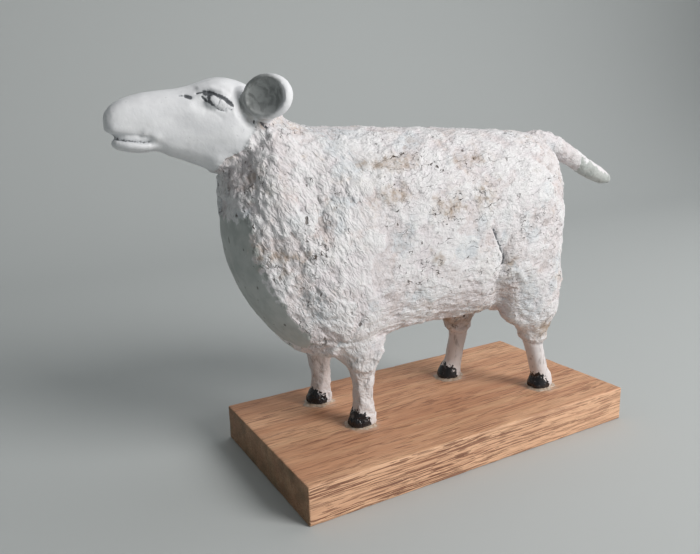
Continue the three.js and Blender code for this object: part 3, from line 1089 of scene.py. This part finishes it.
# %% [markdown]
# ## The fleece's paint
#
# The fleece is off-white, with pink, cream and blue-grey brushed thinly over it. Newer scraps of paper
# are whiter and older ones browner. The cracks are darkened with brown, partly a glaze and partly
# painted shade, and the crests are lightened with white, partly a nearly dry brush and partly a painted
# highlight. One flat white would look like plaster, and patches painted by hand would need an image. So
# each tint is a thin coat whose mask is noise, and the relief itself says where the dark and the white
# go.

# %% Lay the fleece's whites and its thin patches of colour
stirred = stirred_by(tree, place, 2.6 * MM, 9.0, 2.4 * MM)
brushed = ramp(tree, noise(tree, stirred, 2.2 * MM, 2.0, detail=4.0, roughness=0.65), 0.34, 0.64)

white = ramp(tree, noise(tree, stirred, 14 * MM, 1.0, 3.0), 0.35, 0.65)
colour = coat(tree, white, WARM_WHITE, FLEECE_WHITE)
pink = ramp(tree, noise(tree, stirred, 19 * MM, 11.0, 3.0, 0.6), 0.50, 0.64)
colour = coat(tree, times(tree, pink, brushed, 0.75), colour, PINK)
cream = ramp(tree, noise(tree, stirred, 14 * MM, 23.0, 3.0, 0.6), 0.57, 0.68)
colour = coat(tree, times(tree, cream, brushed, 0.75), colour, CREAM)
blue = ramp(tree, noise(tree, stirred, 22 * MM, 31.0, 3.0, 0.6), 0.52, 0.64)
colour = coat(tree, times(tree, blue, 0.65), colour, BLUE_GREY)
newer = ramp(tree, patch, 0.62, 0.68)
colour = coat(tree, times(tree, newer, 0.35), colour, NEW_PAPER)
older = ramp(tree, patch, 0.28, 0.22)
colour = coat(tree, times(tree, older, brushed, 0.5), colour, OLD_PAPER)
print("fleece:", len(tree.nodes), "nodes")

# %% Darken the cracks with glaze and painted shade, and lighten the crests with dry white and painted highlight
behind = ramp(tree, coordinate(tree, place), *SHOULDER_BACK)


def both_tilts(pattern, size, seed):
    """A pattern of lines that runs steeply at the shoulder and nearly level on the flank, like the relief."""
    steep = pattern(tree, stirred, SHOULDER_TILT, size, seed, 2.0)
    level = pattern(tree, stirred, FLANK_TILT, size, seed, 2.0)
    return coat_number(tree, behind, steep, level)


fold = both_tilts(wrinkles, 2.6 * MM, 27.0)
# the brown in the cracks is partly a glaze and partly painted shade; the white on the crests is partly dry
# brush and partly a painted highlight
crack = ramp(tree, plus(tree, relief, times(tree, fold, 0.25)), -0.10, -0.75)
glaze_and_shade = times(tree, crack, fleece, ramp(tree, noise(tree, place, 9 * MM, 6.0, 3.0), 0.38, 0.62))
colour = coat(tree, times(tree, glaze_and_shade, 0.62), colour, GLAZE_AND_SHADE)
dry_brush_and_highlight = ramp(tree, plus(tree, relief, times(tree, fold, 0.3)), 0.05, 0.55)
colour = coat(tree, times(tree, dry_brush_and_highlight, brushed, 0.8), colour, DRY_WHITE_AND_HIGHLIGHT)
print("glaze and dry brush:", len(tree.nodes), "nodes")

# %% [markdown]
# ## Stains and missed places
#
# Brown size came through the paint at the shoulder, along the back and over the hind legs, and the
# brush missed the bottoms of slits and holes. The same brown also paints the shade between the brow and
# the ear, behind the flank fold and, in part, at the shoulder. Spots of one colour would look stuck on.
# So each stain is torn by noise that fades with it, and the specks crowd where the relief is crumbly or
# stained.

# %% Let the brown through, and leave specks and slits dark
tear = times(tree, minus(tree, noise(tree, stirred, 4 * MM, 5.0, 4.0, 0.65), 0.5), 1.8)
tear = times(tree, tear, ramp(tree, stain_and_shade_mask, 0.02, 0.3))
# this brown is real size in most places, and painted shade behind the ear, behind the flank fold and partly
# at the shoulder
stain_and_shade = ramp(tree, plus(tree, stain_and_shade_mask, tear), 0.12, 0.80)
colour = coat(tree, times(tree, stain_and_shade, 0.85), colour, BROWN_SIZE_AND_SHADE)

slit_place = stretched(tree, stirred, (0.3, 0.6, 0.9), (1.0, 1.0, 0.42))
speck = ramp(tree, crumbs(tree, slit_place, 2.6 * MM, 7.0), 0.27, 0.17)
speck_place = plus(tree, noise(tree, place, 6 * MM, 8.0, 2.0), times(tree, stain_and_shade_mask, 0.12))
speck = times(tree, speck, ramp(tree, speck_place, 0.49, 0.56))
line = ramp(tree, both_tilts(valleys, 4.2 * MM, 28.0), 0.010, 0.003)
line_place = plus(tree, noise(tree, place, 3.2 * MM, 29.0, 2.0), times(tree, stain_and_shade_mask, 0.12))
line = times(tree, line, ramp(tree, line_place, 0.50, 0.56))
missed = calculate(tree, "MAXIMUM", speck, line)
open_places = plus(tree, plus(tree, times(tree, zone, 0.8), 0.2), times(tree, stain_and_shade_mask, 1.2))
missed = times(tree, missed, open_places, ramp(tree, fleece, 0.1, 0.5))
colour = coat(tree, times(tree, missed, 0.85), colour, BARE_CRACK)
print("stains and specks:", len(tree.nodes), "nodes")

# %% [markdown]
# ## The breast, the shins and the face
#
# The breast was pressed flat. Its grey-green is painted shade, with a painted green-blue reflection in
# it, and the underside of the tail gets the same. The shins are thin white over grey board, in streaks
# that run down the leg. The face is smooth, cool white, laid on with soft strokes, and the ears are dark
# grey swirled into wet white. They could be pieces of their own, but they are one skin with the fleece,
# and the fleece's pulp laps over their edges, so their masks have torn edges.

# %% Paint shade on the breast, and paint the shins
# the breast's grey-green coat is painted shade with a painted green-blue reflection, and the tail's underside
# gets it too
breast_shade = torn(tree, mask(tree, "breast"), place, 5 * MM, 9.0, 0.8, 30.0)
thin = ramp(tree, noise(tree, place, 8 * MM, 32.0, 4.0, 0.6), 0.35, 0.7)
shaded_breast = coat(tree, thin, BREAST_SHADE_PALE, BREAST_SHADE_GREEN)
colour = coat(tree, times(tree, breast_shade, 0.85), colour, shaded_breast)
colour = coat(tree, times(tree, breast_shade, speck, 0.7), colour, BREAST_CRACK)

down = stretched(tree, place, (0, 0, 0), (1.0, 1.0, 0.25))
streak = ramp(tree, noise(tree, down, 2.0 * MM, 12.0, 3.0, 0.6), 0.55, 0.65)
shin_colour = coat(tree, times(tree, streak, 0.65), SHIN_WHITE, SHIN_GREY)
colour = coat(tree, times(tree, mask(tree, "shin"), 0.8), colour, shin_colour)
print("breast and shins:", len(tree.nodes), "nodes")

# %% Paint the face
face = torn(tree, mask(tree, "face"), place, 2.4 * MM, 2.2, 0.35, 14.0)
strokes = noise(tree, stretched(tree, place, (0, 0.5, 0), (0.5, 1.0, 1.0)), 7 * MM, 15.0, 3.0)
skin_colour = coat(tree, ramp(tree, strokes, 0.35, 0.65), FACE_COOL, FACE_WHITE)
grey = ramp(tree, noise(tree, place, 16 * MM, 16.0, 3.0, 0.55), 0.52, 0.68)
skin_colour = coat(tree, times(tree, grey, 0.25), skin_colour, FACE_GREY)
worn = ramp(tree, noise(tree, place, 2 * MM, 33.0, 3.0, 0.6), 0.64, 0.70)
skin_colour = coat(tree, times(tree, worn, 0.3), skin_colour, FACE_WORN)
# on the face this brown is painted shade between the brow and the ear
skin_colour = coat(tree, times(tree, stain_and_shade, 0.55), skin_colour, FACE_SIZE_AND_SHADE)
colour = coat(tree, face, colour, skin_colour)
print("face:", len(tree.nodes), "nodes")

# %% Paint the hollows of the ears, paler towards the bottom
swirl_place = stirred_by(tree, place, 8 * MM, 17.0, 14 * MM)
swirl = noise(tree, stretched(tree, swirl_place, (0, 0, 0.7), (1, 1, 0.45)), 2.6 * MM, 18.0, 3.0)
inside = coat(tree, ramp(tree, swirl, 0.38, 0.64), EAR_GREY, EAR_DARK)
low_in_ear = ramp(tree, coordinate(tree, place, axis=2), 171 * MM, 163 * MM)
inside = coat(tree, times(tree, low_in_ear, 0.6), inside, EAR_PALE)
cup = torn(tree, mask(tree, "cup"), place, 4.5 * MM, 1.6, 1.1, 19.0)
colour = coat(tree, times(tree, cup, 0.95), colour, inside)
print("ears:", len(tree.nodes), "nodes")

# %% [markdown]
# ## Ink, hooves and gloss
#
# The lids were drawn with thinned black, which stayed in the cuts and crept a little past them. The same
# ink darkens the folds of the flank and the groin, and there it is painted shade. The hooves are glossy
# black, with a ragged upper edge. Curves could carry the ink and geometry the finest grain, but both are
# smaller than the faces, so the ink is a mask and the grain is a bump in the material.

# %% Ink the strokes and blacken the hooves
drawn = mask(tree, "ink_and_shade")
# the ink is real on the face, and painted shade in the folds of the flank and the groin
colour = coat(tree, times(tree, ramp(tree, drawn, 0.0, 0.6), 0.42), colour, THIN_INK_AND_SHADE)
wobble = times(tree, minus(tree, noise(tree, place, 0.9 * MM, 20.0, 3.0), 0.5), 0.95)
line_ink_and_shade = ramp(tree, plus(tree, drawn, wobble), 0.30, 0.58)
line_ink_and_shade = times(tree, line_ink_and_shade, ramp(tree, drawn, 0.04, 0.30))
colour = coat(tree, times(tree, line_ink_and_shade, 0.9), colour, INK_AND_SHADE)
hoof_paint = torn(tree, mask(tree, "hoof"), place, 1.7 * MM, 6.0, 0.3, 21.0)
scuff = ramp(tree, noise(tree, place, 2.2 * MM, 22.0, 3.0), 0.56, 0.70)
colour = coat(tree, hoof_paint, colour, coat(tree, scuff, HOOF_BLACK, HOOF_SCUFF))
tree.links.new(colour, shader.inputs["Base Color"])
print("ink and hooves:", len(tree.nodes), "nodes")

# %% Set the gloss and the finest grain
FACE_GLOSS = 0.48
HOOF_GLOSS = 0.24

matt = ramp(tree, noise(tree, place, 6 * MM, 24.0), 0.3, 0.7, 0.60, 0.76)
matt = coat_number(tree, face, matt, FACE_GLOSS)
matt = coat_number(tree, hoof_paint, matt, HOOF_GLOSS)
tree.links.new(matt, shader.inputs["Roughness"])

fine = crumbs(tree, stirred, 1.7 * MM, 4.0)
grain = plus(tree, times(tree, fine, zone, -0.7), times(tree, fold, 0.75))
grain = plus(tree, grain, times(tree, noise(tree, stirred, 1.1 * MM, 25.0, 3.0, 0.6), 0.45))
grain = times(tree, grain, ramp(tree, fleece, -0.15, 0.9))
grain = minus(tree, grain, times(tree, missed, 0.8))
tooth = times(tree, noise(tree, place, 3 * MM, 26.0, 3.0, 0.55), 0.28)
bump = {"Height": plus(tree, grain, tooth), "Distance": 0.7 * MM, "Strength": 0.9}
tree.links.new(grow(tree, "ShaderNodeBump", bump).outputs[0], shader.inputs["Normal"])
print("painted pulp:", len(tree.nodes), "nodes")

# %% Dress the sheep in its relief and its paint
skin = dressed(sheep, pulp, {"Seed": PULP_SIZES["Seed"], "Material": pulp_paint})
print("sheep:", triangles(skin), "triangles")

# %% [markdown]
# ## Glue round the hooves
#
# The sheep is glued to the board, and the glue squeezed out into a thin collar round each hoof. A torus
# would be too even. So a collar is a few rings of points: flat under the hoof, thickest at its wall,
# and gone a millimetre or two further out. Noise makes the outer rings wander.

# %% Lay a collar of glue round every hoof
# from under the hoof, out and over the top, and back: (share of the hoof's radius, height in millimetres)
GLUE_RINGS = ((0.55, -0.05), (1.22, -0.05), (1.17, 0.1), (1.06, 0.3), (0.97, 0.8), (0.55, 0.8))
GLUE_POINTS = 48
HOOF_LENGTHWAYS = 6.9
HOOF_CROSSWAYS = 5.8
HOOF_SHIFT = 1.3


def glue_ring(shape, x, side, reach, height):
    ring = []
    for i in range(GLUE_POINTS):
        angle = 2 * math.pi * i / GLUE_POINTS
        spot = Vector((math.cos(angle), math.sin(angle), side * x / 20))
        wander = 1 + (reach - 0.9) * 0.9 * noise_at(spot * 2.1) if reach > 1 else 1
        lift = height * (1 + 0.45 * noise_at(spot * 3.3)) if height > 0 else height
        along = x - HOOF_SHIFT + HOOF_LENGTHWAYS * reach * wander * spot.x
        across = side * LEG_SPREAD + HOOF_CROSSWAYS * reach * wander * spot.y
        ring.append(shape.verts.new(to_scene(np.array([(along, across, lift)]))[0]))
    return ring


def glue_collars():
    shape = bmesh.new()
    for x, side in FEET.values():
        rings = [glue_ring(shape, x, side, reach, height) for reach, height in GLUE_RINGS]
        for inner, outer in zip(rings, rings[1:] + rings[:1]):
            for i in range(GLUE_POINTS):
                j = (i + 1) % GLUE_POINTS
                shape.faces.new((inner[i], inner[j], outer[j], outer[i]))
    bmesh.ops.recalc_face_normals(shape, faces=shape.faces)
    return made_from(shape, "glue_collars")


glue = glue_collars()
glue.data.shade_smooth()
print("glue collars:", triangles(glue.data), "triangles")

# %% Mix the colour of dried glue
GLUE_BROWN = (0.42, 0.30, 0.21)
GLUE_CLOUDY = (0.60, 0.50, 0.41)

glue_paint, tree, shader, place = start_paint("dried_glue")
cloudy = ramp(tree, noise(tree, place, 1.6 * MM, 41.0, 3.0), 0.35, 0.65)
tree.links.new(coat(tree, cloudy, GLUE_BROWN, GLUE_CLOUDY), shader.inputs["Base Color"])
tree.links.new(ramp(tree, cloudy, 0.0, 1.0, 0.28, 0.5), shader.inputs["Roughness"])
glue.data.materials.append(glue_paint)
print("dried glue:", len(tree.nodes), "nodes")

# %% [markdown]
# ## The board
#
# The board is an offcut of an open-grained tropical wood, sawn, sanded and left bare. A bevelled cube
# would give its shape, but the grooves of the grain and the rubbed edges need faces to move. So it is a
# lattice: six sides of small cells, longer along the grain than across it, with the edges rounded by
# one rule.

# %% Build the board as a lattice with rounded edges
EDGE_ROUND = 0.8 * MM
CELL_ALONG = 2.0 * MM
CELL_ACROSS = 0.62 * MM
RIM_SHARES = (0, 0.25, 0.6)


def lattice_marks(low, high, step):
    """Marks from one side to the other, with a few close ones in the rounded edges."""
    cells = max(1, round((high - low - 2 * EDGE_ROUND) / step))
    inner = np.linspace(low + EDGE_ROUND, high - EDGE_ROUND, cells + 1)
    first = [low + EDGE_ROUND * share for share in RIM_SHARES]
    last = [high - EDGE_ROUND * share for share in RIM_SHARES]
    return np.array([*first, *inner, *last[::-1]])


def lattice_side(marks, axis, value, outwards, start):
    """One side of the board: its points, and its faces with the points counted from a start."""
    i, j = (axis + 1) % 3, (axis + 2) % 3
    u, v = np.meshgrid(marks[i], marks[j], indexing="ij")
    points = np.empty((u.size, 3))
    points[:, axis], points[:, i], points[:, j] = value, u.ravel(), v.ravel()
    rows, columns = u.shape
    corner = start + np.arange(rows - 1)[:, None] * columns + np.arange(columns - 1)[None, :]
    faces = np.stack((corner, corner + columns, corner + columns + 1, corner + 1), -1).reshape(-1, 4)
    return points, faces if outwards else faces[:, ::-1]


def board_lattice(low, high):
    steps = (CELL_ALONG, CELL_ACROSS, CELL_ACROSS)
    marks = [lattice_marks(low[k], high[k], steps[k]) for k in range(3)]
    sides = []
    for axis in range(3):
        for outwards, value in ((False, low[axis]), (True, high[axis])):
            start = sum(len(points) for points, faces in sides)
            sides.append(lattice_side(marks, axis, value, outwards, start))
    points = np.concatenate([points for points, faces in sides])
    faces = np.concatenate([faces for points, faces in sides])
    core = np.clip(points, low + EDGE_ROUND, high - EDGE_ROUND)
    out = points - core
    points = core + out / np.linalg.norm(out, axis=1, keepdims=True) * EDGE_ROUND
    mesh = bpy.data.meshes.new("lattice")
    mesh.from_pydata(points, [], faces)
    shape = bmesh.new()
    shape.from_mesh(mesh)
    bpy.data.meshes.remove(mesh)
    bmesh.ops.remove_doubles(shape, verts=shape.verts, dist=WELD)
    return made_from(shape, "board_of_wood")


board_low, board_high = (np.array(corner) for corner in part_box("plinth"))
board = board_lattice(board_low, board_high)
print("board:", len(board.data.vertices), "points")

# %% Store where the edges, the ends, the long sides and the feet are
EDGE_FADE = 0.7
FACING_EDGE = (0.5, 0.9)

points = points_of(board.data)
depth = np.sort(np.minimum(points - board_low, board_high - points), axis=1) / MM
store(board.data, "edge", np.exp(-depth[:, 1] / EDGE_FADE))
facing = np.abs(normals_of(board.data))
store(board.data, "end", smoothstep(*FACING_EDGE, facing[:, 0]))
store(board.data, "side", smoothstep(*FACING_EDGE, facing[:, 1]))
feet = to_scene(np.array([(x - HOOF_SHIFT, side * LEG_SPREAD, 0) for x, side in FEET.values()]))
store(board.data, "foot", np.linalg.norm(points[:, None, :] - feet[None, :, :], axis=2).min(1) / MM)
print("edge points:", int((depth[:, 1] < 0.8).sum()))

# %% [markdown]
# ## The grain
#
# Planing and sanding cut open the wood's pores, so it has short shallow grooves along the grain, and
# its edges are worn. Bump alone would leave the outline straight. A Geometry Nodes tree presses the
# grooves and the worn places into the lattice, and the paint repeats them finer.

# %% Cut the grain into the board with Geometry Nodes
GRAIN_SIZES = {
    "Pore Length": 9 * MM,
    "Pore Width": 1.1 * MM,
    "Pore Depth": 0.16 * MM,
    "Wear Depth": 0.35 * MM,
    "Seed": 5.0,
}


def grain_tree():
    tree, given = start_tree("open grain", GRAIN_SIZES)
    place = tree.nodes.new("GeometryNodeInputPosition").outputs[0]
    share = calculate(tree, "DIVIDE", given["Pore Width"], given["Pore Length"])
    squeeze = grow(tree, "ShaderNodeCombineXYZ", {0: share, 1: 1.0, 2: 1.0}).outputs[0]
    along = vectors(tree, "MULTIPLY", place, squeeze)
    scale = calculate(tree, "DIVIDE", 1.0, given["Pore Width"])
    sockets = {"Vector": along, "W": given["Seed"], "Scale": scale, "Detail": 2.0}
    pores = grow(tree, "ShaderNodeTexNoise", sockets, noise_dimensions="4D").outputs[0]
    cut = times(tree, ramp(tree, pores, 0.52, 0.66), given["Pore Depth"])
    worn = ramp(tree, noise(tree, place, 7 * MM, 3.0, 3.0), 0.42, 0.75)
    rub = times(tree, worn, named(tree, "edge"), given["Wear Depth"])
    end_tree(tree, given, times(tree, plus(tree, cut, rub), -1.0), {})
    return tree


grain = grain_tree()
print("open grain:", len(grain.nodes), "nodes")

# %% [markdown]
# ## The wood's colours
#
# Bare tropical wood is banded, paler and rosier by turns, with fine fibres and dark pores that follow
# the grain. The long sides are full of dark splits, and a paler coat on them is painted light. The ends
# drink dirt, and the edges are rubbed pale, partly as wear and partly as a painted highlight. Rings round
# a centre would suit an end, but a flat-sawn face shows long streaks. So every pattern is noise that is
# stretched along the grain, which waves a little.

# %% Name the colours in the wood, and start its paint
BAND_DARK = (0.645, 0.325, 0.183)
BAND_LIGHT = (0.80, 0.46, 0.272)
PALE_STREAK = (0.83, 0.515, 0.30)
SIDE_PAINTED_LIGHT = (0.90, 0.57, 0.365)
ROSY_STREAK = (0.50, 0.24, 0.13)
FIBRE_BROWN = (0.37, 0.175, 0.095)
PORE_TOP = (0.27, 0.11, 0.06)
PORE_SIDE = (0.17, 0.06, 0.032)
SPLIT_BROWN = (0.19, 0.067, 0.035)
TOP_STREAK = (0.33, 0.135, 0.075)
END_DIRT = (0.13, 0.088, 0.038)
RUBBED_EDGE_AND_HIGHLIGHT = (0.70, 0.47, 0.30)
GLUE_HAZE = (0.66, 0.56, 0.48)
GRAIN_TURN = (0, math.radians(0.6), math.radians(-1))

wood, tree, shader, place = start_paint("open_grained_wood")
edge = mask(tree, "edge")
end = mask(tree, "end")
side = mask(tree, "side")
along_grain = stirred_by(tree, stretched(tree, place, GRAIN_TURN, (1, 1, 1)), 45 * MM, 51.0, 2.5 * MM)


def streaks(length, width, seed, detail=2.0, roughness=0.5):
    drawn_out = stretched(tree, along_grain, (0, 0, 0), (width / length, 1, 1))
    return noise(tree, drawn_out, width, seed, detail, roughness)


print("wood colours ready")

# %% Lay the bands, the streaks and the fibres
bands = ramp(tree, streaks(150 * MM, 11 * MM, 52.0, 3.0), 0.36, 0.64)
colour = coat(tree, bands, BAND_DARK, BAND_LIGHT)
pale = ramp(tree, streaks(60 * MM, 4.5 * MM, 53.0, 3.0), 0.50, 0.66)
colour = coat(tree, times(tree, pale, 0.55), colour, PALE_STREAK)
# the long sides are painted paler: painted light
colour = coat(tree, times(tree, side, 0.6), colour, SIDE_PAINTED_LIGHT)
rosy = ramp(tree, streaks(45 * MM, 3 * MM, 54.0, 3.0), 0.54, 0.70)
colour = coat(tree, times(tree, rosy, 0.5), colour, ROSY_STREAK)
fibre = ramp(tree, streaks(16 * MM, 0.7 * MM, 55.0, 4.0, 0.6), 0.35, 0.68)
colour = coat(tree, times(tree, fibre, 0.30), colour, FIBRE_BROWN)
print("bands and fibres:", len(tree.nodes), "nodes")

# %% Open the pores, and the splits in the long sides, most towards the head end
pores = ramp(tree, streaks(13 * MM, 0.6 * MM, 56.0, 1.0), 0.56, 0.61)
grouped = ramp(tree, streaks(60 * MM, 6 * MM, 57.0), 0.34, 0.60)
pore = times(tree, pores, plus(tree, times(tree, grouped, 0.7), 0.2))
colour = coat(tree, times(tree, pore, 0.8), colour, coat(tree, side, PORE_TOP, PORE_SIDE))
split = ramp(tree, streaks(34 * MM, 0.55 * MM, 58.0, 1.0), 0.54, 0.565)
to_head = ramp(tree, coordinate(tree, place), 90 * MM, -50 * MM, 0.45, 1.0)
split = times(tree, split, side, to_head, ramp(tree, streaks(110 * MM, 4 * MM, 59.0, 1.0), 0.36, 0.52))
colour = coat(tree, times(tree, split, 0.86), colour, SPLIT_BROWN)
top_streak = ramp(tree, streaks(24 * MM, 0.95 * MM, 63.0), 0.55, 0.60)
top_streak = times(tree, top_streak, ramp(tree, streaks(70 * MM, 7 * MM, 64.0), 0.40, 0.60))
colour = coat(tree, times(tree, top_streak, 0.5), colour, TOP_STREAK)
print("pores and splits:", len(tree.nodes), "nodes")

# %% Dirty the ends, rub the edges pale with a painted highlight, and haze the wood round the feet
dirt = ramp(tree, noise(tree, place, 9 * MM, 60.0, 3.0), 0.30, 0.75, 0.45, 0.85)
colour = coat(tree, times(tree, end, dirt), colour, END_DIRT)
# the pale edges are partly rubbed wear and partly a painted highlight
rubbed_and_highlit = times(tree, edge, ramp(tree, noise(tree, place, 5 * MM, 61.0, 3.0), 0.35, 0.6))
colour = coat(tree, times(tree, rubbed_and_highlit, 0.2), colour, RUBBED_EDGE_AND_HIGHLIGHT)
from_foot = plus(tree, mask(tree, "foot"), times(tree, noise(tree, place, 3 * MM, 62.0), 5.0))
haze = ramp(tree, from_foot, 13.5, 9.5)
colour = coat(tree, times(tree, haze, 0.30), colour, GLUE_HAZE)
tree.links.new(colour, shader.inputs["Base Color"])
tree.links.new(ramp(tree, fibre, 0.0, 1.0, 0.50, 0.66), shader.inputs["Roughness"])

height = minus(tree, times(tree, fibre, -0.35), plus(tree, pore, times(tree, split, 1.2)))
bump = {"Height": height, "Distance": 0.22 * MM, "Strength": 0.8}
tree.links.new(grow(tree, "ShaderNodeBump", bump).outputs[0], shader.inputs["Normal"])
print("open-grained wood:", len(tree.nodes), "nodes")

# %% Dress the board in its grain and its paint
board_mesh = dressed(board, grain, {"Seed": GRAIN_SIZES["Seed"], "Material": wood})
print("board:", triangles(board_mesh), "triangles")

# %% [markdown]
# ## Pieces on their body
#
# Each piece is hung on the body that it rides on, and the solid under it is hidden. The glue could be a
# part of the sheep's mesh, but a piece of its own keeps its faces clean, and it hides the solid sheep
# too. The looks must stay inside the solids' box.

# %% Put the pieces on their body, and hide the solids
PIECES = (
    (sheep, "sheep", "painted_pulp"),
    (glue, "sheep", "painted_pulp"),
    (board, "plinth", "plinth_wood"),
)

for piece, node, finish in PIECES:
    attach(piece, "root")
    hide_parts(node)
